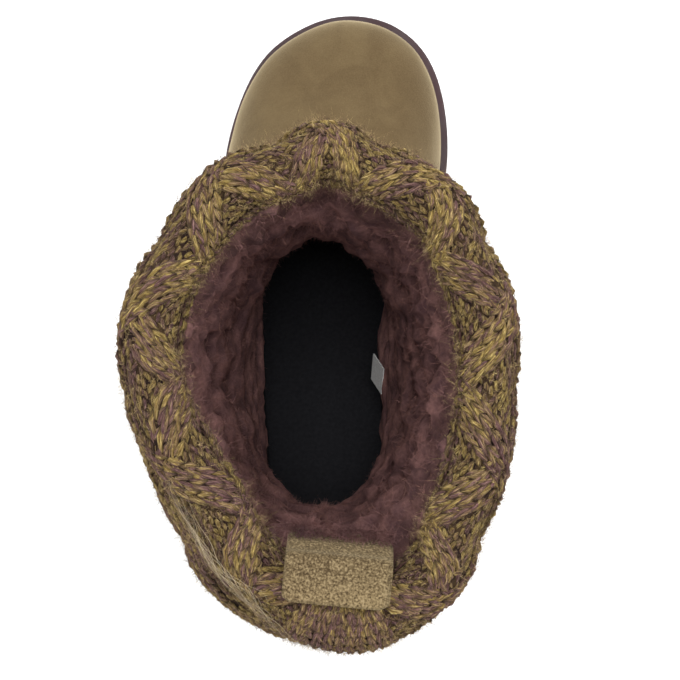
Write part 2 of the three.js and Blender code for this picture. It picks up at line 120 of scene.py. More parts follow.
# Rings of the foot: back, front, back rise, front rise, follow, heel, ball, oval, foot.
FOOT_RINGS = [
    (0.02, 0.973, 0, 0, 1, 0.93, 0.925, 0.66, 1),
    (0.011, 0.979, 0.168, 0.15, 0.8, 0.955, 0.94, 0.66, 1),
    (0.011, 0.969, 0.316, 0.292, 0.6, 0.955, 0.92, 0.66, 1),
    (0.016, 0.942, 0.444, 0.41, 0.4, 0.95, 0.865, 0.66, 0.98),
    (0.024, 0.897, 0.562, 0.512, 0.2, 0.94, 0.79, 0.66, 0.93),
    (0.033, 0.834, 0.675, 0.61, 0, 0.935, 0.72, 0.7, 0.84),
    (0.042, 0.763, 0.74, 0.685, 0, 0.93, 0.67, 0.73, 0.66),
    (0.051, 0.702, 0.81, 0.785, 0, 0.93, 0.66, 0.76, 0.45),
    (0.06, 0.658, 0.89, 0.92, 0, 0.93, 0.68, 0.79, 0.25),
    (0.067, 0.63, 0.99, 1.08, 0, 0.94, 0.7, 0.825, 0.1),
]
# Rings of the shaft: back, front, back rise, front rise, oval, slack.
SHAFT_RINGS = [
    (0, -0.02, 0.11, 0.195, 0.82, 0.15),
    (0, -0.018, 0.27, 0.355, 0.89, 0.4),
    (-0.01, -0.012, 0.485, 0.55, 0.955, 0.7),
    (-0.015, -0.005, 0.73, 0.76, 0.995, 0.9),
    (0, 0, 1, 1, 1, 1),
]
# Side of the sole from the tread up: rise, step, bevel.
SOLE_SIDE = [
    (0, 0, 1), (0.16, 0.3, 0), (0.5, 0.1, 0), (0.55, 1, 0),
    (0.63, 1, 0), (0.68, 0, 0), (0.93, 0, 0), (1, 0.5, 0),
]
SUEDE_TOP = len(FOOT_RINGS) - 1
HEM_LEVEL = SUEDE_TOP - 0.8
TOP_LEVEL = len(FOOT_RINGS) + len(SHAFT_RINGS) - 1
# Points round each of the drawn walls.
WALL_TURNS = TURN * np.arange(200) / 200


def smoothstep(x, low, high):
    t = np.clip((np.asarray(x, float) - low) / (high - low), 0, 1)
    return t * t * (3 - 2 * t)


def lerp(a, b, t):
    return a + (b - a) * t


def smooth_through(values, t):
    """Smooth curve through equally spaced values, at places t counted in values."""
    values = np.asarray(values, float)
    last = len(values) - 1
    t = np.clip(np.asarray(t, float), 0, last)
    i = np.minimum(np.floor(t).astype(int), last - 1)
    u = t - i
    padded = np.concatenate([[2 * values[0] - values[1]], values, [2 * values[-1] - values[-2]]])
    p0, p1, p2, p3 = padded[i], padded[i + 1], padded[i + 2], padded[i + 3]
    bend = (2 * p0 - 5 * p1 + 4 * p2 - p3) * u * u + (3 * p1 - p0 - 3 * p2 + p3) * u**3
    return p1 + 0.5 * ((p2 - p0) * u + bend)


ROUND = np.array(MEDIAL + [-v for v in LATERAL[-2:0:-1]])
COLLAR_ROUND = np.array(COLLAR_MEDIAL + [-v for v in COLLAR_LATERAL[-2:0:-1]])


def outline_share(turn, values=ROUND):
    wrapped = np.concatenate([values[-2:], values, values[:3]])
    t = (np.asarray(turn, float) / TURN % 1) * len(values)
    return smooth_through(wrapped, t + 2)


def along_share(turn):
    return (1 - np.cos(turn)) / 2


def sole_bottom(y):
    along = y / SOLE_LENGTH
    arch = smoothstep(along, 0.3, 0.4) * (1 - smoothstep(along, 0.44, 0.56))
    return ARCH_RISE * arch + TOE_SPRING * smoothstep(along, 0.76, 1.12) * 2


def sole_top(y):
    along = y / SOLE_LENGTH
    heel = 1 - smoothstep(along, 0.18, 0.64)
    toe = smoothstep(along, 0.72, 1.06)
    toe_top = 2 * TOE_SPRING * float(smoothstep(1, 0.76, 1.12)) + TOE_THICKNESS
    rise = (HEEL_THICKNESS - BALL_THICKNESS) * heel + (toe_top - BALL_THICKNESS) * toe
    return BALL_THICKNESS + rise


def ring_table():
    rows = []
    for back, front, back_rise, front_rise, follow, heel, ball, oval, foot in FOOT_RINGS:
        rows.append((
            back * SOLE_LENGTH, front * SOLE_LENGTH, back_rise * INSTEP_HEIGHT,
            front_rise * INSTEP_HEIGHT, follow, heel * BALL_WIDTH / 2, ball * BALL_WIDTH / 2,
            oval * BALL_WIDTH / 2, foot, 0,
        ))
    for back, front, back_rise, front_rise, oval, slack in SHAFT_RINGS:
        rows.append((
            COLLAR_SETBACK + back * COLLAR_LENGTH, COLLAR_SETBACK + (1 + front) * COLLAR_LENGTH,
            lerp(INSTEP_HEIGHT, COLLAR_BASE, back_rise),
            lerp(INSTEP_HEIGHT, COLLAR_BASE, front_rise),
            0, COLLAR_WIDTH / 2, COLLAR_WIDTH / 2, oval * COLLAR_WIDTH / 2, 0, slack,
        ))
    return np.array(rows)


RINGS = ring_table()


def base_point(turn, level):
    """Outside of the suede, and higher up inside of the knit, in the CAD part's millimetres."""
    turn, level = np.broadcast_arrays(np.asarray(turn, float), np.asarray(level, float))
    back, front, back_z, front_z, follow, heel, ball, oval, foot, slack = (
        smooth_through(RINGS[:, k], level) for k in range(10)
    )
    share = along_share(turn)
    y = lerp(back, front, share)
    forward = smoothstep(share, 0.1, 0.8)
    outline = outline_share(turn) * lerp(heel, ball, forward)
    lean = lerp(COLLAR_LEAN, FOREFOOT_LEAN * forward, foot)
    leg = lerp(np.sin(turn), outline_share(turn, COLLAR_ROUND), slack) * oval
    x = foot * outline + (1 - foot) * leg + lean
    z = follow * (sole_top(y) + FIT_GAP) + lerp(back_z, front_z, share)
    away = (turn + TURN * 0.13 + math.pi) % TURN - math.pi
    pressed = smoothstep(level, SUEDE_TOP + 3.6, TOP_LEVEL)
    slouched = smoothstep(level, SUEDE_TOP + 1, SUEDE_TOP + 3) * (1 - pressed)
    dent = DENT_DEPTH * pressed - SLOUCH * slouched
    dent = dent * np.exp(-((away / (TURN * 0.115)) ** 2))
    inward = np.stack([-np.sin(turn) * COLLAR_LENGTH, np.cos(turn) * COLLAR_WIDTH], -1)
    inward /= np.linalg.norm(inward, axis=-1, keepdims=True)
    return np.stack([x + inward[..., 0] * dent, y + inward[..., 1] * dent, z], -1)


def unit(v):
    return v / np.maximum(np.linalg.norm(v, axis=-1, keepdims=True), 1e-12)


def base_normal(turn, level):
    level = np.asarray(level, float)
    step = 1e-3
    around = base_point(turn + step, level) - base_point(turn - step, level)
    up = base_point(turn, np.minimum(level + step, TOP_LEVEL)) - base_point(
        turn, np.maximum(level - step, 0)
    )
    normal = unit(np.cross(around, up))
    normal[..., 2] *= np.minimum(level, 1)
    return unit(normal)


def on_boot(turn, level, offset):
    return base_point(turn, level) + base_normal(turn, level) * np.asarray(offset)[..., None]


def out_from_collar(turn):
    """Outward direction at the collar, kept level."""
    normal = base_normal(turn, TOP_LEVEL)
    normal[:, 2] = 0
    return unit(normal)


def collar_ring(offset, rise):
    """A ring of a wall, out from the collar and up from its base."""
    ring = base_point(WALL_TURNS, TOP_LEVEL) + out_from_collar(WALL_TURNS) * offset
    ring[:, 2] += rise
    return ring


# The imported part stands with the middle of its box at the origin; the functions above start at
# the back of the heel. The CAD part's sole has this many columns.
SOLE_COLUMNS = 48
sole_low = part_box("outsole")[0]
lateral_share = np.min(outline_share(TURN * np.arange(SOLE_COLUMNS) / SOLE_COLUMNS))
SHIFT = np.array([sole_low.x / MM - lateral_share * BALL_WIDTH / 2, sole_low.y / MM, 0.0])


def to_frame(points):
    return (np.asarray(points) + SHIFT) * MM


# Meshes


def add_object(name, data):
    obj = bpy.data.objects.new(name, data)
    bpy.context.scene.collection.objects.link(obj)
    return obj


def make_mesh(name, points, faces, facts=None):
    """A mesh object from points in CAD millimetres and faces that all have as many corners.
    facts are three numbers for each point, which the materials read."""
    faces = np.asarray(faces, np.int32)
    mesh = bpy.data.meshes.new(name)
    mesh.vertices.add(len(points))
    mesh.vertices.foreach_set("co", to_frame(points).astype(np.float32).ravel())
    sides = faces.shape[1]
    mesh.loops.add(faces.size)
    mesh.loops.foreach_set("vertex_index", faces.ravel())
    mesh.polygons.add(len(faces))
    mesh.polygons.foreach_set("loop_start", np.arange(len(faces), dtype=np.int32) * sides)
    mesh.update(calc_edges=True)
    mesh.validate()
    mesh.shade_smooth()
    if facts is not None:
        layer = mesh.attributes.new("yarn", "FLOAT_VECTOR", "POINT")
        layer.data.foreach_set("vector", facts.astype(np.float32).ravel())
    return add_object(name, mesh)


def grid_faces(rows, columns, wrap_rows=False):
    """Quads of a grid of points whose columns close into rings."""
    r = np.arange(rows if wrap_rows else rows - 1)[:, None]
    c = np.arange(columns)
    a = r * columns + c
    b = r * columns + (c + 1) % columns
    d = (r + 1) % rows * columns + c
    e = (r + 1) % rows * columns + (c + 1) % columns
    return np.stack([a, b, e, d], -1).reshape(-1, 4)


def strip_faces(strips, rows):
    """Quads of narrow strips, each with rows of two points."""
    index = np.arange(strips)[:, None] * 2 * rows + 2 * np.arange(rows - 1)
    return np.stack([index, index + 1, index + 3, index + 2], -1).reshape(-1, 4)


def add_faces(obj, corner_lists, is_turned=True):
    """Adds faces between points that the mesh has, and then may turn all of them outward."""
    bm = bmesh.new()
    bm.from_mesh(obj.data)
    bm.verts.ensure_lookup_table()
    for corners in corner_lists:
        bm.faces.new([bm.verts[k] for k in corners])
    if is_turned:
        bmesh.ops.recalc_face_normals(bm, faces=bm.faces)
    bm.to_mesh(obj.data)
    bm.free()


def wall_mesh(name, outer, inner, inner_fact=None):
    """A closed wall up through the outer rings and down through the inner ones. inner_fact is
    the first of the material's numbers on the inside."""
    rings = np.concatenate([outer, inner[::-1]])
    facts = np.zeros(rings.shape)
    if inner_fact is not None:
        facts[len(outer):, :, 0] = inner_fact[::-1]
    faces = grid_faces(*rings.shape[:2], wrap_rows=True)
    return make_mesh(name, rings.reshape(-1, 3), faces, facts)


def finish_piece(obj, material, slot, *nodes):
    obj.data.materials.clear()
    obj.data.materials.append(material)
    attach(obj, "root")
    if nodes:
        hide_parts(*nodes)


# Materials


def linear(colour):
    """Linear colour from 0 to 255 screen values, with its alpha."""
    shares = [value / 255 for value in colour]
    return *(c / 12.92 if c <= 0.04045 else ((c + 0.055) / 1.055) ** 2.4 for c in shares), 1


class Nodes:
    """Short hand for building one material's node tree."""

    def __init__(self, name):
        self.material = bpy.data.materials.new(name)
        self.material.use_nodes = True
        self.tree = self.material.node_tree
        self.tree.nodes.clear()
        self.shader = self.add("BsdfPrincipled")
        self.add("OutputMaterial", {"Surface": self.shader.outputs["BSDF"]})

    def add(self, kind, inputs=None, **values):
        node = self.tree.nodes.new("ShaderNode" + kind)
        for key, value in values.items():
            setattr(node, key, value)
        self.feed(node, inputs or {})
        return node

    def feed(self, node, inputs):
        """Links a node's inputs to other sockets, or sets them. Tuples are screen colours."""
        for key, value in inputs.items():
            if isinstance(value, bpy.types.NodeSocket):
                self.tree.links.new(value, node.inputs[key])
            elif value is not None:
                is_colour = isinstance(value, tuple)
                node.inputs[key].default_value = linear(value) if is_colour else value

    def position(self):
        return self.add("NewGeometry").outputs["Position"]

    def facts(self):
        """The three numbers that the mesh holds for each point."""
        held = self.add("Attribute", attribute_name="yarn").outputs["Vector"]
        return self.add("SeparateXYZ", {0: held}).outputs

    def noise(self, scale, detail=4, rough=0.55, where=None, distortion=0.0):
        return self.add("TexNoise", {
            "Scale": scale, "Detail": detail, "Roughness": rough, "Distortion": distortion,
            "Vector": where or self.position(),
        }).outputs["Fac"]

    def ramp(self, value, *stops):
        node = self.add("ValToRGB", {"Fac": value})
        elements = node.color_ramp.elements
        while len(elements) < len(stops):
            elements.new(0.5)
        for element, (place, colour) in zip(elements, stops):
            element.position = place
            element.color = linear(colour)
        return node.outputs["Color"]

    def level(self, value, low, high, out_low=0.0, out_high=1.0):
        """Maps low and high to out_low and out_high, and stops there."""
        return self.add("MapRange", {
            "Value": value, "From Min": low, "From Max": high,
            "To Min": out_low, "To Max": out_high,
        }, clamp=True).outputs["Result"]

    def mix(self, share, a, b):
        """Colour a with a share of colour b."""
        return self.add("Mix", {"Factor": share, 6: a, 7: b}, data_type="RGBA").outputs[2]

    def math(self, operation, a, b=0.0):
        return self.add("Math", {0: a, 1: b}, operation=operation).outputs[0]

    def bump(self, height, strength, distance, normal=None):
        return self.add("Bump", {
            "Strength": strength, "Distance": distance, "Height": height, "Normal": normal,
        }).outputs["Normal"]

    def finish(self, colour, roughness, normal=None, sheen=0.0, sheen_tint=None, specular=0.3):
        self.feed(self.shader, {
            "Base Color": colour, "Roughness": roughness, "Specular IOR Level": specular,
            "Sheen Weight": sheen, "Sheen Roughness": 0.5, "Sheen Tint": sheen_tint,
            "Normal": normal,
        })
        return self.material


GOLD = (137, 114, 61)
GOLD_LIGHT = (210, 188, 122)
GOLD_DARK = (74, 55, 30)
MAUVE = (97, 68, 69)
MAUVE_LIGHT = (160, 128, 123)
MAUVE_DARK = (44, 30, 27)
SHADE = (14, 10, 9)


def yarn_material(name, shaded=0.0):
    """Marled yarn: gold and mauve fibres that run along each ply. The mesh holds the place along
    the leg, the place round the ply and the ply's tone. shaded is a share of painted shade over all
    of it."""
    n = Nodes(name)
    along, around, tone = n.facts()
    # The fibres are drawn out along the ply, slant round it and differ with its tone.
    slant = n.math("ADD", around, n.math("MULTIPLY", along, 0.35))
    ways = (along, 1.1), (slant, 7.0), (tone, 61.0)
    scaled = {k: n.math("MULTIPLY", way, scale) for k, (way, scale) in enumerate(ways)}
    in_ply = n.add("CombineXYZ", scaled).outputs[0]
    fibres = n.noise(1.0, 3, 0.7, where=in_ply)
    streaks = n.noise(2.6, 3, 0.75, where=in_ply)
    patch = n.noise(48, 2, 0.5)
    score = n.math("ADD", n.math("MULTIPLY", tone, 0.5), n.math("MULTIPLY", fibres, 1.1))
    score = n.math("ADD", score, n.math("MULTIPLY", patch, 0.6))
    is_gold = n.level(score, 0.95, 1.28)
    gold = n.ramp(streaks, (0.33, GOLD_DARK), (0.5, GOLD), (0.66, GOLD_LIGHT))
    mauve = n.ramp(streaks, (0.34, MAUVE_DARK), (0.52, MAUVE), (0.7, MAUVE_LIGHT))
    colour = n.mix(is_gold, mauve, gold)
    # Painted shade darkens the ply towards both ends, where it dives under its neighbours.
    middle = n.math("ABSOLUTE", n.math("SUBTRACT", along, 0.5))
    colour = n.mix(n.level(middle, 0.22, 0.5, 0.0, 0.8), colour, SHADE)
    # Painted shade in random dark gaps between the fibres.
    deep = n.noise(3.7, 2, 0.7, where=in_ply)
    colour = n.mix(n.level(deep, 0.34, 0.56, 0.8, 0.0), colour, SHADE)
    # Painted shade over all of the yarn, by the share that shaded gives.
    colour = n.mix(shaded, colour, SHADE)
    normal = n.bump(streaks, 0.9, 0.0004)
    return n.finish(colour, 0.95, normal, sheen=0.12, sheen_tint=(196, 178, 140), specular=0.08)


def yarn_fuzz_material():
    n = Nodes("knit_fuzz")
    stops = (0.36, (46, 33, 29)), (0.5, (108, 85, 68)), (0.64, (178, 157, 110))
    return n.finish(n.ramp(n.noise(420, 2), *stops), 1.0, specular=0.05)


def knit_shaded_ground_material():
    n = Nodes("knit_shaded_ground")
    # Painted shade: the wall under the stitches is coloured dark, as the shade between them.
    colour = n.mix(n.level(n.noise(260, 3, 0.6), 0.4, 0.6), (30, 21, 18), (56, 43, 28))
    return n.finish(colour, 1.0, n.bump(n.noise(900, 3), 0.7, 0.0006), specular=0.1)


def suede_material(name, lift=0.0):
    """Napped suede. With a lift it is the tab's: lighter, coarser, and with painted shade over its
    fold.
    """
    n = Nodes(name)
    nap = n.noise(24, 4, 0.6, distortion=0.6)
    cloud = n.noise(9, 2, 0.5)
    grain = n.noise(1500, 3, 0.7)
    fine = n.noise(420, 3, 0.65)
    blotch = n.noise(52, 3, 0.65, distortion=0.8)
    base = n.mix(n.level(nap, 0.38, 0.62), (78, 63, 41), (108, 93, 65))
    base = n.mix(n.level(cloud, 0.42, 0.58, 0.0, 0.6), base, (76, 60, 39))
    base = n.mix(n.level(blotch, 0.46, 0.64, 0.0, 0.5), base, (70, 55, 35))
    base = n.mix(n.level(fine, 0.3, 0.75, 0.0, 0.3), base, (76, 61, 39))
    base = n.mix(n.level(grain, 0.35, 0.7, 0.0, 0.3), base, (112, 96, 70))
    if lift:
        speckle = n.noise(1500, 2, 0.6)
        base = n.mix(lift, base, (120, 105, 78))
        # Painted shade over the tab's fold, as the mesh marks it.
        base = n.mix(n.math("MULTIPLY", n.facts()[0], 0.45), base, (66, 54, 36))
        base = n.mix(n.level(speckle, 0.34, 0.48, 0.9, 0.0), base, (50, 38, 24))
        base = n.mix(n.level(speckle, 0.5, 0.66, 0.0, 0.55), base, (146, 129, 98))
    normal = n.bump(fine, 0.3, 0.0003)
    normal = n.bump(grain, 0.5, 0.00025, normal)
    sheen = 0.3 if lift else 0.6
    return n.finish(base, 0.95, normal, sheen=sheen, sheen_tint=(214, 198, 162), specular=0.1)


def plush_material(name, lift=0.0, has_crease_shade=False):
    """Curly pile, with lighter hairs by lift, and painted shade where the mesh marks it, in creases
    and under the roll.
    """
    n = Nodes(name)
    clump = n.noise(110, 3, 0.6)
    fine = n.noise(900, 3, 0.7)
    colour = n.mix(n.level(clump, 0.35, 0.66), (100, 73, 75), (156, 115, 109))
    colour = n.mix(n.level(fine, 0.3, 0.7, 0.0, 0.4), colour, (62, 44, 46))
    if lift:
        hair = n.noise(420, 2, 0.6)
        colour = n.mix(n.level(hair, 0.4, 0.6, 0.0, 2 * lift), colour, (168, 124, 108))
    if has_crease_shade:
        # Painted shade in the creases and under the roll, as the mesh marks them.
        colour = n.mix(n.math("MULTIPLY", n.facts()[0], 0.6), colour, (44, 28, 27))
    normal = n.bump(clump, 0.6, 0.002)
    normal = n.bump(fine, 0.8, 0.0006, normal)
    return n.finish(colour, 0.95, normal, sheen=0.15, sheen_tint=(150, 116, 108), specular=0.05)


def rubber_material():
    n = Nodes("sole_rubber")
    cloud = n.noise(30, 3, 0.6)
    grain = n.noise(1200, 2, 0.6)
    colour = n.mix(n.level(cloud, 0.35, 0.7), (44, 25, 28), (60, 38, 41))
    roughness = n.level(n.noise(60, 4, 0.6), 0.35, 0.7, 0.5, 0.75)
    return n.finish(colour, roughness, n.bump(grain, 0.2, 0.0002), specular=0.35)


def insole_material():
    n = Nodes("insole_fabric")
    weave = n.noise(700, 2, 0.5)
    colour = n.mix(n.level(weave, 0.3, 0.7), (22, 22, 25), (30, 30, 33))
    return n.finish(colour, 0.95, n.bump(weave, 0.6, 0.0004), specular=0.15)


def label_material():
    n = Nodes("label_ribbon")
    drawn_out = n.add("VectorMath", {0: n.position(), 1: [1, 1, 0.3]}, operation="MULTIPLY")
    weave = n.noise(1800, 2, 0.5, where=drawn_out.outputs[0])
    colour = n.mix(n.level(weave, 0.3, 0.7), (196, 196, 194), (224, 224, 222))
    return n.finish(colour, 0.75, n.bump(weave, 0.3, 0.0002))


# Knit

# The grid that the stitches lie on: points round it, and millimetres between its rings.
GRID_TURNS = 361
GRID_STEP = 1.0
# Rows and columns of the V stitches and the purl, and the knit's girth, in millimetres.
ROW = 3.8
COLUMN = 4.6
PURL_ROW = 2.15
PURL_COLUMN = 4.1
TURN_PER_MM = TURN / 450
EDGE_LOOPS = 104
# Half the plain band up the back, in cables.
PLAIN_HALF = 1.5
# Depth of the wall and of the purl below the relief.
GROUND_DEPTH = 1.1
PURL_DEPTH = 1.6
# A ply's twist round the other one, its spread, thinning and difference in tone beside it, its
# flatness, and how far the middle of a leg stands out.
PLY_TWIST = 1.1 * math.pi
PLY_SPREAD = 0.52
PLY_THINNED = 0.38
PLY_CONTRAST = 0.35
PLY_FLAT = 0.85
LEG_ARCH = 0.45


def from_back(turn):
    """Distance round the boot from the middle of its back, in cables."""
    return np.abs(np.sin(turn / 2)) * CABLE_REPEATS


def cable_relief(turn, down):
    """Height of the ribs, 0 to 1, as in the CAD part."""
    across = turn / TURN * CABLE_REPEATS
    along = (down - FIRST_CROSSING) / CABLE_PERIOD

    def rib(place):
        return 1 - smoothstep(np.abs(place - np.round(place)), 0.1, 0.32)

    plain = 1 - smoothstep(from_back(turn), 1.1, 1.9)
    lattice = np.maximum(rib(across - along), rib(across + along))
    return lerp(lattice, 0.6, plain)


def knit_grid():
    """Outer face of the knit and its outward direction, on a grid of turns and ways down."""
    turns = np.linspace(0, TURN, GRID_TURNS)
    levels = np.linspace(HEM_LEVEL, TOP_LEVEL, 140)
    heights = base_point(turns[:, None], levels)[..., 2]
    deepest = float(np.min(ROLL_LENGTH + COLLAR_BASE - heights[:, 0]))
    downs = np.arange(0, deepest + 0.01, GRID_STEP)
    top = base_point(turns, TOP_LEVEL)
    level_out = out_from_collar(turns)
    points = np.zeros((GRID_TURNS, len(downs), 3))
    outs = np.zeros_like(points)
    middle = OUTER_FACE - ROLL_WIDTH / 2
    for j, down in enumerate(downs):
        if down <= ROLL_LENGTH:
            angle = math.pi * (1 - down / ROLL_LENGTH)
            outs[:, j] = level_out * math.cos(angle)
            outs[:, j, 2] = math.sin(angle)
            across = middle + ROLL_WIDTH / 2 * math.cos(angle)
            points[:, j] = top + level_out * across
            points[:, j, 2] += ROLL_HEIGHT * math.sin(angle)
        else:
            goal = ROLL_LENGTH + COLLAR_BASE - down
            level = np.array([np.interp(goal, row, levels) for row in heights])
            outs[:, j] = base_normal(turns, level)
            points[:, j] = on_boot(turns, level, OUTER_FACE)
    return points, outs, float(downs[-1])


KNIT_POINTS, KNIT_OUTS, KNIT_LENGTH = knit_grid()


def from_grid(grid, turn, down):
    """Reads a grid between its points."""
    t = (turn / TURN % 1) * (GRID_TURNS - 1)
    d = np.clip(down / GRID_STEP, 0, grid.shape[1] - 1.001)
    i, j = np.floor(t).astype(int), np.floor(d).astype(int)
    i = np.minimum(i, GRID_TURNS - 2)
    u, v = (t - i)[..., None], (d - j)[..., None]
    return (
        grid[i, j] * (1 - u) * (1 - v) + grid[i + 1, j] * u * (1 - v)
        + grid[i, j + 1] * (1 - u) * v + grid[i + 1, j + 1] * u * v
    )


def on_knit(turn, down, sunk):
    """Points below the knit's outer face, and the outward direction there."""
    point = from_grid(KNIT_POINTS, turn, down)
    out = unit(from_grid(KNIT_OUTS, turn, down))
    return point - out * np.asarray(sunk)[..., None], out


def knit_sink(turn, down):
    """Depth of the wall's relief below its outer face, flatter over the roll."""
    past_roll = np.clip(down / ROLL_LENGTH, 0, 1)
    return CABLE_RISE * (1 - cable_relief(turn, down)) * lerp(0.4, 1, past_roll)


def yarn_tubes(name, ends, radius, tones, plies, bow, material):
    """Plump plies on the knit, twisted round each other along each leg of a stitch. ends holds
    the turn, the way down and the depth below the outer face of each leg's start and end."""
    is_twisted = plies > 1
    count, rings, sides = len(ends), 4, 4 if is_twisted else 5
    t = np.linspace(0, 1, rings)
    # A ply is thinnest where it dives under its neighbours.
    swell = np.sin(np.pi * (0.12 + 0.76 * t)) ** 0.7
    swell[[0, -1]] *= 0.55
    start, end = ends[:, None, :3], ends[:, None, 3:]
    place = start + (end - start) * t[:, None]
    arch = np.sin(np.pi * t)
    turn, down, sunk = place[..., 0], place[..., 1] + bow * arch, place[..., 2] - LEG_ARCH * arch
    centre, out = on_knit(turn, down, sunk)
    tangent = unit(np.gradient(centre, axis=1))
    side = unit(np.cross(tangent, out))
    lift = np.cross(side, tangent)
    size = radius[:, None] * swell
    thickness = (1 - PLY_THINNED) * size if is_twisted else size
    twist = TURN * rng.random((count, 1)) + PLY_TWIST * t

    def round_axis(angle, reach):
        angle, reach = angle[..., None], reach[..., None]
        return reach * (np.cos(angle) * side + PLY_FLAT * np.sin(angle) * lift)

    corner = TURN * np.arange(sides) / sides - math.pi / 2
    points = []
    facts = np.zeros((plies, count, rings, sides, 3))
    facts[..., 0] = t[:, None]
    facts[..., 1] = np.arange(sides) / sides
    for ply in range(plies):
        apart = PLY_SPREAD if is_twisted else 0.0
        axis = centre + round_axis(twist + TURN * ply / plies, apart * size)
        loop = [axis + round_axis(np.full_like(size, angle), thickness) for angle in corner]
        points.append(np.stack(loop, 2))
        facts[ply, ..., 2] = (tones + PLY_CONTRAST * (ply - (plies - 1) / 2))[:, None, None]
    starts = rings * sides * np.arange(plies * count)[:, None, None]
    faces = (grid_faces(rings, sides) + starts).reshape(-1, 4)
    points = np.concatenate(points).reshape(-1, 3)
    finish_piece(make_mesh(name, points, faces, facts), material, "knit")


def v_stitch(centre, down, foot, head, slant=0.0):
    """The two legs of a V stitch. foot and head are each the distance from its middle, the way
    below or above it and the depth; slant is in turns for each millimetre up."""
    (foot_half, below, foot_sunk), (head_half, above, head_sunk) = foot, head
    return [
        (
            centre + leg * foot_half * TURN_PER_MM + slant * below, down + below, foot_sunk,
            centre + leg * head_half * TURN_PER_MM - slant * above, down - above, head_sunk,
        )
        for leg in (-1, 1)
    ]


def rib_legs():
    """V stitches along the two sets of slanting ribs, three columns wide."""
    legs, tones = [], []
    rows = np.arange(1.0, KNIT_LENGTH - 3, ROW)
    slant_per_mm = TURN / CABLE_PERIOD / CABLE_REPEATS
    for hand in (-1, 1):
        for k in range(CABLE_REPEATS):
            for column in (-1, 0, 1):
                tone = rng.random()
                for down in rows:
                    along = (down - FIRST_CROSSING) / CABLE_PERIOD
                    # The two sets pass over each other in turn.
                    crossing = round(2 * along)
                    near = abs(2 * along - crossing)
                    is_over = (crossing + k) % 2 == (0 if hand < 0 else 1)
                    turn = (k + hand * along) / CABLE_REPEATS * TURN
                    if from_back(turn) < PLAIN_HALF:
                        continue
                    under = 0.0 if is_over else 1.5 * max(0.0, 1 - near / 0.35)
                    centre = turn + column * COLUMN * 1.05 * TURN_PER_MM
                    sunk = knit_sink(centre, down) * 0.6 + 0.3 + under + 0.4 * abs(column)
                    tone = 0.7 * tone + 0.3 * rng.random()
                    reach = 3.3 + 1.0 * rng.random()
                    foot, head = (0.4, 2.8, sunk + 1.4), (2.3, reach, sunk - 0.2)
                    legs += v_stitch(centre, down, foot, head, hand * slant_per_mm)
                    tones += [0.65 * tone + 0.35 * rng.random() for _ in range(2)]
    return legs, tones


def back_legs():
    """Plain V stitches up the back, where no cables cross."""
    legs, tones = [], []
    half = PLAIN_HALF / CABLE_REPEATS * 2
    columns = int(2 * half / (COLUMN * TURN_PER_MM)) + 1
    for c in range(columns):
        centre = -half + (c + 0.5) * 2 * half / columns
        tone = rng.random()
        for down in np.arange(2.0, KNIT_LENGTH - 3, ROW * 1.05):
            tone = 0.7 * tone + 0.3 * rng.random()
            sunk = knit_sink(centre % TURN, down) + 0.3
            legs += v_stitch(centre, down, (0.4, 2.7, sunk + 0.9), (2.2, 3.6, sunk))
            tones += [0.6 * tone + 0.3 * rng.random() for _ in range(2)]
    return legs, tones


def purl_bumps():
    """Small cross bumps that fill the diamonds between the ribs."""
    legs, tones = [], []
    count = int(TURN / TURN_PER_MM / PURL_COLUMN)
    for row, down in enumerate(np.arange(3.0, KNIT_LENGTH - 2, PURL_ROW)):
        for c in range(count):
            turn = TURN * (c + 0.5 * (row % 2) + 0.08 * rng.standard_normal()) / count
            if from_back(turn) < PLAIN_HALF - 0.05 or cable_relief(turn, down) > 0.93:
                continue
            sunk = knit_sink(turn, down) + PURL_DEPTH
            reach = (2.1 + 0.6 * rng.random()) * TURN_PER_MM
            tip = 0.9 * rng.standard_normal()
            legs.append((turn - reach, down + tip, sunk, turn + reach, down - tip, sunk))
            tones.append(rng.random())
    return legs, tones


def edge_chain():
    """The bound-off edge: two rows of slanting loops along the collar's inner edge."""
    legs, tones = [], []
    step = TURN / EDGE_LOOPS
    for c in range(EDGE_LOOPS):
        turn = TURN * (c + 0.15 * rng.standard_normal()) / EDGE_LOOPS
        tone = rng.random()
        wobble = 0.5 * rng.standard_normal()
        for row, lean in ((-0.4, 1), (2.4, -1)):
            down = row + wobble
            start = turn - 0.55 * step, down + 1.9 * lean, 1.2
            end = turn + 0.6 * step, down - 1.5 * lean, 0.7
            legs.append(start + end)
            tones.append(0.6 * tone + 0.4 * rng.random())
    return legs, tones


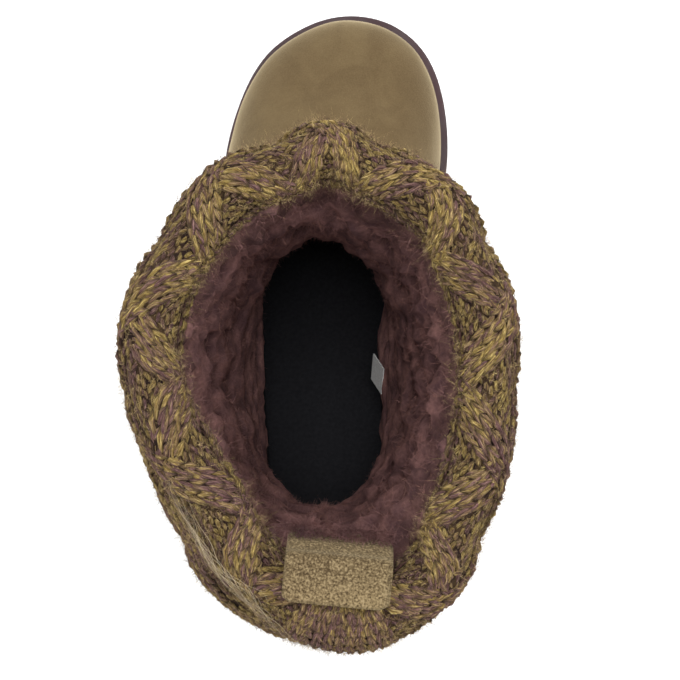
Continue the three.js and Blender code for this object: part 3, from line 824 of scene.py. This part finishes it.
def build_knit():
    """The knit's wall, and the stitches that lie on it."""
    yarn = yarn_material("knit_yarn")
    # A copy of the yarn under painted shade, for the purl and the bound-off edge.
    shaded_yarn = yarn_material("knit_shaded_yarn", shaded=0.32)
    downs = np.linspace(KNIT_LENGTH, 0, 90)[:, None]
    sunk = knit_sink(WALL_TURNS, downs) + GROUND_DEPTH
    # The wall thins towards its hem.
    sunk = sunk + (KNIT_WALL * 0.45) * (1 - smoothstep(KNIT_LENGTH - downs, 0, 9))
    outer, _ = on_knit(*np.broadcast_arrays(WALL_TURNS, downs, sunk))
    inner_edge = OUTER_FACE - ROLL_WIDTH + 2 * FIT_GAP + CABLE_RISE
    under = [collar_ring(offset, -ROLL_TUCK) for offset in (inner_edge, FIT_GAP)]
    inner = on_boot(WALL_TURNS, np.linspace(HEM_LEVEL, TOP_LEVEL, 30)[:, None], FIT_GAP)
    ground = wall_mesh("knit_shaded_ground", np.concatenate([outer, under]), inner)
    finish_piece(ground, knit_shaded_ground_material(), "knit", "knit_shaft")

    for name, (legs, tones), radius, plies, bow, material in (
        ("knit_ribs", rib_legs(), 1.32, 2, 0.0, yarn),
        ("knit_back", back_legs(), 1.25, 2, 0.0, yarn),
        ("knit_purl", purl_bumps(), 0.9, 1, -0.8, shaded_yarn),
        ("knit_edge", edge_chain(), 1.05, 2, 0.0, shaded_yarn),
    ):
        legs, tones = np.array(legs), np.array(tones)
        upper = legs[:, 1] < 0.45 * KNIT_LENGTH
        for part, chosen in (("upper", upper), ("lower", ~upper)):
            if chosen.any():
                sizes = radius + 0.1 * rng.standard_normal(chosen.sum())
                piece = f"{name}_{part}"
                yarn_tubes(piece, legs[chosen], sizes, tones[chosen], plies, bow, material)


def strands(name, roots, directions, lengths, width, curl, material, slot, segments=2):
    """Fine hairs as narrow strips that bend as they rise."""
    count = len(roots)
    across = unit(np.cross(directions, rng.standard_normal((count, 3))))
    bend = unit(np.cross(directions, across) + 0.4 * rng.standard_normal((count, 3)))
    t = np.linspace(0, 1, segments + 1)[:, None]
    lengths, curl = lengths[:, None, None], curl[:, None, None]
    spine = roots[:, None] + directions[:, None] * lengths * t
    spine += bend[:, None] * lengths * curl * t**2
    half = width * (1 - 0.85 * t) * across[:, None] / 2
    points = np.stack([spine - half, spine + half], 2).reshape(-1, 3)
    finish_piece(make_mesh(name, points, strip_faces(count, segments + 1)), material, slot)


def build_fuzz():
    """Loose fibres of the yarn, standing off the knit."""
    material = yarn_fuzz_material()
    for name, count, longest, width, spread, segments in (
        ("knit_down", 60000, 2.4, 0.08, 2.6, 1),
        ("knit_fuzz", 34000, 4.0, 0.06, 1.6, 2),
    ):
        turn = TURN * rng.random(count)
        down = (rng.random(count) ** 1.5) * (KNIT_LENGTH - 4)
        sunk = knit_sink(turn, down) - 0.4
        roots, outs = on_knit(turn, down, sunk)
        lean = unit(outs + spread * rng.standard_normal((count, 3)))
        keep = np.einsum("ij,ij->i", lean, outs) > 0.05
        roots, lean = roots[keep], lean[keep]
        lengths = 0.8 + longest * rng.random(len(roots)) ** 1.7
        curl = np.clip(1.1 * rng.standard_normal(len(roots)), -1.8, 1.8)
        strands(name, roots, lean, lengths, width, curl, material, "knit", segments)


def build_wisp():
    """A wisp of pale wool caught along the outside of the roll, at the back of the lateral side."""
    hairs, steps = 22, 48
    along = np.linspace(0, 1, steps)
    start = 0.8 + 0.05 * rng.random((hairs, 1))
    reach = 0.11 + 0.04 * rng.random((hairs, 1))
    turn = TURN * (start + reach * along)
    wander = rng.uniform(0, TURN, (hairs, 1))
    down = 25.5 + 1.2 * np.sin(3 * TURN * along * reach / 0.15 + wander)
    down = down + rng.normal(0, 1.5, (hairs, 1)) + 0.9 * np.sin(9 * along + 2 * wander)
    lift = 0.5 + 0.6 * rng.random((hairs, 1)) + 0.4 * np.sin(7 * along + wander)
    centre, out = on_knit(turn, down, -lift)
    side = unit(np.cross(np.gradient(centre, axis=1), out))
    half = 0.055 * np.sin(np.pi * (0.04 + 0.92 * along))[..., None] * side
    points = np.stack([centre - half, centre + half], 2).reshape(-1, 3)
    n = Nodes("pale_wool")
    material = n.finish(n.mix(n.noise(300), (146, 130, 102), (206, 190, 160)), 1.0)
    finish_piece(make_mesh("knit_wisp", points, strip_faces(hairs, steps)), material, "knit")


# Lining


def lining_offset(turn, level):
    """Depth of the pile's inner face, as in the CAD part."""
    up = smoothstep(level, SUEDE_TOP - 2, SUEDE_TOP + 2)
    shown = smoothstep(level, 1, 4)
    tuft = np.sin(9 * turn + 2.1 * level) * np.sin(5 * turn - 2.7 * level)
    behind = np.exp(-((np.sin(turn / 2) / 0.48) ** 2))
    behind = behind * (1 - 0.25 * np.exp(-((np.sin(turn / 2) / 0.07) ** 2)))
    slumped = smoothstep(level, SUEDE_TOP - 2, SUEDE_TOP)
    slumped = slumped * (1 - smoothstep(level, TOP_LEVEL - 2, TOP_LEVEL))
    depth = lerp(SUEDE_WALL + FIT_GAP + FOOT_PILE, SHAFT_PILE, up) + BACK_PILE * behind * slumped
    return -depth + PILE_TUFT * shown * tuft


def lumps(points, size, seed):
    """Smooth lumpy noise, -1 to 1, from a few crossing waves."""
    local = np.random.default_rng(seed)
    total = np.zeros(points.shape[:-1])
    for _ in range(7):
        wave = local.standard_normal(3)
        wave *= TURN / size / np.linalg.norm(wave) * local.uniform(0.7, 1.5)
        total += np.sin(points @ wave + local.uniform(0, TURN))
    return total / 3.2


def swirls(points, size, seed):
    """Smooth noise in all three directions."""
    return np.stack([lumps(points, size, seed + k) for k in range(3)], -1)


def plush_ruffle(points, level):
    """Soft folds of the pile, flatter deep inside the boot."""
    calm = lerp(0.35, 1, smoothstep(level, 9, 12.5))
    folds = 1.8 * lumps(points, 18, 3) + 1.7 * lumps(points, 8.5, 4) + 0.5 * lumps(points, 4, 5)
    return calm * folds


def from_label(points):
    """Distance from the label's middle, in metres."""
    low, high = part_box("inside_label")
    return np.linalg.norm(to_frame(points) - np.array((low + high) / 2), axis=-1)


def build_lining():
    """The lining's wall, pressed flat round the label, with painted shade in its folds and under
    the roll.
    """
    levels = np.linspace(0, TOP_LEVEL, 120)[:, None]
    outer_levels = np.array([*np.linspace(0, 8.9, 24), 9.2, 10, 11, 12, 13, 13.65])[:, None]
    outer_offset = np.where(outer_levels <= SUEDE_TOP, -(SUEDE_WALL + FIT_GAP), 0.0)
    outer = on_boot(WALL_TURNS, outer_levels, outer_offset)
    offset = lining_offset(WALL_TURNS, levels)
    surface = on_boot(WALL_TURNS, levels, offset)
    ruffle = plush_ruffle(surface, levels) * smoothstep(levels, 0.5, 3)
    ruffle *= smoothstep(from_label(surface), 6 * MM, 14 * MM)
    inner = surface + base_normal(WALL_TURNS, levels) * ruffle[..., None]
    rim = offset[-1][:, None]
    top = [collar_ring(out, -ROLL_TUCK - FIT_GAP) for out in (0 * rim, rim)]
    # Painted shade: outward ruffles are the creases between locks, and the top band lies under the
    # roll.
    crease_shade = np.maximum(smoothstep(ruffle, 0.2, 2.4), smoothstep(levels, 12.6, 13.4))
    obj = wall_mesh("plush", np.concatenate([outer, top]), inner, crease_shade)
    finish_piece(obj, plush_material("plush_base", has_crease_shade=True), "plush", "plush_lining")


def build_pile():
    """Hairs of the pile, in locks, from the collar down to where they can still be seen."""
    for name, count, low, high, lift in (
        ("plush_pile", 26000, 5.0, TOP_LEVEL, 0.0),
        ("plush_tips", 14000, 7.5, TOP_LEVEL - 0.3, 0.3),
    ):
        turn = TURN * rng.random(count)
        level = high - (high - low) * rng.random(count) ** 1.1
        place = on_boot(turn, level, lining_offset(turn, level))
        clear = from_label(place) > 11 * MM
        turn, level, place = turn[clear], level[clear], place[clear]
        count = len(turn)
        out = base_normal(turn, level)
        place = place + out * plush_ruffle(place, level)[:, None]
        # Locks lean together over a few millimetres.
        together = -0.35 * out + 1.3 * swirls(place, 10, 20)
        lean = unit(together + 0.35 * rng.standard_normal((count, 3)))
        lengths = (1.5 + 1.8 * rng.random(count)) * (0.45 + 0.55 * smoothstep(level, 9.5, 12.5))
        curl = 0.8 + 1.0 * lumps(place, 7, 31) + 0.5 * rng.standard_normal(count)
        material = plush_material(name, lift)
        strands(name, place + out * 0.5, lean, lengths, 0.17, curl, material, "plush")


# Label


def build_label():
    """The label as a thin ribbon, inside its solid's place and a little closer to the wall."""
    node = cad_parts["inside_label"]
    points = np.array([node.matrix_world @ v.co for v in node.data.vertices])
    middle = points.mean(axis=0)
    outward = np.linalg.svd(points - middle)[2][2]
    outward *= math.copysign(1, outward[0])
    depth = (points - middle) @ outward
    low, high = points[:, 2].min(), points[:, 2].max()
    hanging = (high - points[:, 2]) / (high - low)
    shift = (depth.max() - depth) * RIBBON_THINNED + RIBBON_SWING * MM * hanging
    points += outward * shift[:, None]
    mesh = node.data.copy()
    back = node.matrix_world.inverted()
    for vertex, point in zip(mesh.vertices, points):
        vertex.co = back @ Vector(point)
    obj = add_object("label_ribbon", mesh)
    obj.matrix_world = node.matrix_world
    finish_piece(obj, label_material(), "label_ribbon", "inside_label")


# Suede foot


def build_suede():
    """The foot's wall, a little uneven between the sole and the knit's hem."""
    levels = np.linspace(0, SUEDE_TOP, 80)[:, None]
    outer = on_boot(WALL_TURNS, levels, 0.0)
    soft = 0.35 * lumps(outer, 60, 11) + 0.12 * lumps(outer, 22, 12)
    soft *= smoothstep(levels, 0, 2) * (1 - smoothstep(levels, 7.4, 8.4))
    outer = outer + base_normal(WALL_TURNS, levels) * soft[..., None]
    inner = on_boot(WALL_TURNS, np.linspace(0, SUEDE_TOP, 24)[:, None], -SUEDE_WALL)
    for surface in (outer, inner):
        towards_toe = smoothstep(surface[..., 1], 0.6 * SOLE_LENGTH, 0.85 * SOLE_LENGTH)
        surface[..., 0] += TOE_SHIFT * towards_toe
    obj = wall_mesh("suede", outer, inner)
    finish_piece(obj, suede_material("suede"), "suede", "suede_foot")


# Sole


def sole_ring(turns, inset, rise):
    """A ring of the sole, in from its outline and a share of the way up."""

    def place(t):
        return np.stack([outline_share(t) * BALL_WIDTH / 2, along_share(t) * SOLE_LENGTH], -1)

    step = 1e-3
    along = unit(place(turns + step) - place(turns - step))
    edge = place(turns) + np.stack([-along[:, 1], along[:, 0]], -1) * inset
    z = lerp(sole_bottom(edge[:, 1]), sole_top(edge[:, 1]), rise)
    return np.column_stack([edge, z])


def groove_bars():
    """Bowed bars that cut the tread, in two rows under the heel and the forefoot."""
    across = np.linspace(-1, 1, 13)
    rings, sides = len(across), 4
    faces = grid_faces(rings, sides)
    last = (rings - 1) * sides
    faces = np.concatenate([faces, [[3, 2, 1, 0], [last, last + 1, last + 2, last + 3]]])
    points, all_faces = [], []
    for low, high in ((0.06, 0.26), (0.54, 0.9)):
        for i in range(int((high - low) * SOLE_LENGTH / GROOVE_PITCH) + 1):
            y = low * SOLE_LENGTH + i * GROOVE_PITCH
            top = float(sole_bottom(y)) + GROOVE_DEPTH
            all_faces.append(faces + rings * sides * len(all_faces))
            for share in across:
                middle = y - GROOVE_SAG * share**2
                for ahead, z in ((-1, -BALL_THICKNESS), (1, -BALL_THICKNESS), (1, top), (-1, top)):
                    points.append((share * BALL_WIDTH, middle + ahead * GROOVE_WIDTH / 2, z))
    return make_mesh("bars", np.array(points), np.concatenate(all_faces))


def build_sole():
    """The sole, closed at both ends, with the tread's grooves cut out of it."""
    count, half = 160, 80
    turns = TURN * np.arange(count) / count
    rises, steps, bevels = np.array(SOLE_SIDE).T
    insets = steps * SOLE_STEP + bevels * SOLE_BEVEL
    places = np.unique(np.concatenate([np.linspace(0, 1, 26), rises]))
    rings = [sole_ring(turns, float(np.interp(rise, rises, insets)), rise) for rise in places]
    points = np.array(rings).reshape(-1, 3)
    # Bottom and top are closed in strips across the sole, with a triangle at the heel and toe.
    starts = (0, (len(rings) - 1) * count)
    i = np.arange(1, half - 1)
    strips = np.stack([i, i + 1, count - i - 1, count - i], -1)
    tips = np.array([[0, 1, count - 1], [half - 1, half, half + 1]])
    sides = grid_faces(len(rings), count)
    obj = make_mesh("sole", points, np.concatenate([sides, *(strips + k for k in starts)]))
    add_faces(obj, np.concatenate([tips + k for k in starts]))
    bars = groove_bars()
    add_faces(bars, [])
    cutter = obj.modifiers.new("tread", "BOOLEAN")
    cutter.operation = "DIFFERENCE"
    cutter.solver = "EXACT"
    cutter.object = bars
    cut = obj.evaluated_get(bpy.context.evaluated_depsgraph_get())
    obj.data = bpy.data.meshes.new_from_object(cut)
    obj.modifiers.clear()
    bpy.data.objects.remove(bars)
    obj.data.set_sharp_from_angle(angle=math.radians(32))
    finish_piece(obj, rubber_material(), "sole_rubber", "outsole")


# Pull tab

# How soon the painted shade clears past the fold, the corners' radius and the plies' gap, in
# millimetres.
TAB_FOLD_SHADE = 5.5
TAB_CORNER = 2.4
TAB_PLY_GAP = 0.12


def roll_face(offset):
    """Where a line across the back of the collar's roll lies, forward of the heel."""
    normal = base_normal(np.array(0.0), TOP_LEVEL)
    return float(base_point(0.0, TOP_LEVEL)[1] + normal[1] * offset)


def tab_path():
    """Middle line of the folded tab, as ways forward and up: up inside the collar, then back.
    The counts say where its front and its fold end."""
    # The fold is as tight as the tab's thickness lets it be.
    half = radius = TAB_THICKNESS / 2
    lip = roll_face(OUTER_FACE - ROLL_WIDTH)
    pile = roll_face(float(lining_offset(0.0, TOP_LEVEL)) - PILE_TUFT - FIT_GAP) + half
    start = max(pile, lip + half) + TAB_STANDOFF
    top = BOOT_HEIGHT + FIT_GAP + TAB_LIFT + half
    bend = np.array([lip + TAB_LEAN - TAB_SET_BACK - radius, top - radius])
    enter = 0.05 * math.pi
    arc_start = bend + radius * np.array([math.cos(enter), math.sin(enter)])
    rise = bend[1] - COLLAR_BASE
    foot = COLLAR_BASE - ROLL_TUCK - TAB_TAIL
    corners = np.array([
        (start, COLLAR_BASE), (start, COLLAR_BASE + 0.35 * rise),
        arc_start - 0.3 * rise * np.array([-math.sin(enter), math.cos(enter)]), arc_start,
    ])
    t = np.linspace(0, 1, 13)[:, None]
    curve = (
        (1 - t) ** 3 * corners[0] + 3 * (1 - t) ** 2 * t * corners[1]
        + 3 * (1 - t) * t**2 * corners[2] + t**3 * corners[3]
    )
    sweep = np.linspace(enter, math.pi / 2, 9)[1:, None]
    arc = bend + radius * np.concatenate([np.cos(sweep), np.sin(sweep)], 1)
    back = np.array([lip + TAB_LEAN - TAB_REACH, top])
    flat = arc[-1] + (back - arc[-1]) * np.linspace(0, 1, 11)[1:, None]
    tail = np.linspace((start, foot), (start, COLLAR_BASE), 5)[:-1]
    front = len(tail) + len(curve)
    return np.concatenate([tail, curve, arc, flat]), front, front + len(arc)


def build_tab():
    """The folded strip as two plies of suede, with rounded corners and a soft cut edge."""
    path, front, fold = tab_path()
    along = unit(np.gradient(path, axis=0))
    away = np.stack([-along[:, 1], along[:, 0]], -1)
    run = np.concatenate([[0], np.cumsum(np.linalg.norm(np.diff(path, axis=0), axis=1))])
    left = run[-1] - run
    # Painted shade lies over the fold and clears towards the free end.
    pressed = np.exp(-((np.clip(run - run[fold], 0, None) / TAB_FOLD_SHADE) ** 2))
    past_corner = 1 - np.clip(left / TAB_CORNER, 0, 1)
    half_width = TAB_WIDTH / 2 - TAB_CORNER * (1 - np.sqrt(np.clip(1 - past_corner**2, 0, 1)))
    ply = TAB_THICKNESS / 2 - TAB_PLY_GAP
    # Section: a flat oblong with softened edges, as shares of half the width and half the ply.
    section = [(across, 1 if abs(across) < 0.98 else 0.4) for across in np.linspace(-1, 1, 25)]
    section += [(across, -share) for across, share in reversed(section)]
    across, share = np.array(section).T
    rings, sides = len(path), len(section)
    i = np.arange(sides // 2 - 1)
    cap = np.stack([i, i + 1, sides - i - 2, sides - i - 1], -1)
    caps = np.concatenate([cap[:, ::-1], cap + (rings - 1) * sides])
    facts = np.zeros((rings, sides, 3))
    facts[..., 0] = pressed[:, None]
    for name, middle, short, sideways, lift, nodes in (
        ("tab_outer_ply", -1, 0.0, 0.0, 0.22, ["pull_tab"]),
        ("tab_inner_ply", 1, 0.3, 1.0, 0.1, []),
    ):
        depth = middle * TAB_THICKNESS / 4 + share * ply / 2
        x = across * (half_width[:, None] - short) + sideways
        yz = path[:, None] + away[:, None] * depth[:, None]
        points = np.concatenate([x[..., None], yz], -1).reshape(-1, 3)
        points[:, 2] += 0.16 * lumps(points, 14, 41) + 0.05 * lumps(points, 3, 42)
        points[:, 0], points[:, 1] = turn_with_tab(points[:, 0], points[:, 1])
        obj = make_mesh(name, points, grid_faces(rings, sides), facts)
        add_faces(obj, caps, is_turned=False)
        finish_piece(obj, suede_material(name, lift), "suede", *nodes)
    build_tab_locks(path[:front])


def turn_with_tab(x, y):
    """Places the tab's own sideways and forward ways on the collar."""
    pivot = roll_face(0.0)
    cos, sin = math.cos(TAB_TWIST), math.sin(TAB_TWIST)
    return (
        cos * x - sin * (y - pivot) + COLLAR_LEAN + TAB_SHIFT,
        sin * x + cos * (y - pivot) + pivot,
    )


def build_tab_locks(path):
    """Locks of the pile that stand against the tab's front, up to its fold."""
    count = 2200
    height = COLLAR_BASE + rng.uniform(-6, 5, count)
    front = np.interp(height, path[:, 1], path[:, 0]) + TAB_THICKNESS / 2
    front += rng.uniform(0.2, 2.4, count)
    x, y = turn_with_tab(rng.uniform(-0.54, 0.54, count) * TAB_WIDTH, front)
    roots = np.column_stack([x, y, height])
    together = np.array([0.0, 0.02, 1.0]) + 0.25 * swirls(roots, 7, 50)
    lean = unit(together + 0.18 * rng.standard_normal((count, 3)))
    lengths = (BOOT_HEIGHT - 1.6 - height) * rng.uniform(0.55, 0.95, count)
    curl = 0.12 * rng.standard_normal(count)
    material = plush_material("plush_locks")
    strands("plush_locks", roots, lean, lengths, 0.22, curl, material, "plush")


# Stage


def build_stage():
    """A white floor, a white world and soft lights: place, size in metres, power in watts."""
    bpy.ops.mesh.primitive_plane_add(size=20, location=(0, 0, 0))
    floor = bpy.context.object
    floor.name = "floor"
    floor.data.materials.append(Nodes("floor").finish([0.97, 0.97, 0.97, 1], 0.9, specular=0.1))
    scene = bpy.context.scene
    scene.world = bpy.data.worlds.new("studio")
    scene.world.use_nodes = True
    background = scene.world.node_tree.nodes["Background"]
    background.inputs["Color"].default_value = (1, 1, 1, 1)
    background.inputs["Strength"].default_value = 0.36
    scene.view_settings.view_transform = "Standard"
    for name, place, size, power in (
        ("overhead", (0.0, 0.1, 1.5), 0.5, 15),
        ("left", (-1.0, 0.2, 1.0), 0.6, 7.5),
        ("right", (1.0, 0.15, 1.0), 0.6, 11),
        ("beyond_toe", (0.1, 1.1, 1.0), 0.6, 8),
        ("behind_heel", (-0.1, -1.0, 1.1), 0.6, 4.5),
    ):
        light = bpy.data.lights.new(name, "AREA")
        light.size = size
        light.energy = power
        obj = add_object(name, light)
        obj.location = place
        aim = Vector((0, 0, 0.1)) - obj.location
        obj.rotation_euler = aim.to_track_quat("-Z", "Y").to_euler()


def build_camera():
    """The photo's camera, almost straight above the collar."""
    focal_pixels, photo_pixels = 1364, 680
    camera = bpy.data.cameras.new("camera")
    camera.sensor_width = 36
    camera.lens = focal_pixels / photo_pixels * 36
    camera.dof.use_dof = False
    obj = add_object("camera", camera)
    obj.location = to_frame([0.0, 90.0, 651.0])
    pitch, roll = math.radians(2.5), math.radians(-0.5)
    obj.rotation_euler = (pitch, roll, 0)
    bpy.context.scene.camera = obj


build_knit()
build_fuzz()
build_wisp()
build_lining()
build_pile()
build_suede()
build_sole()
build_tab()
build_label()
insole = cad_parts["insole"]
insole.data.materials.clear()
insole.data.materials.append(insole_material())
build_stage()
build_camera()
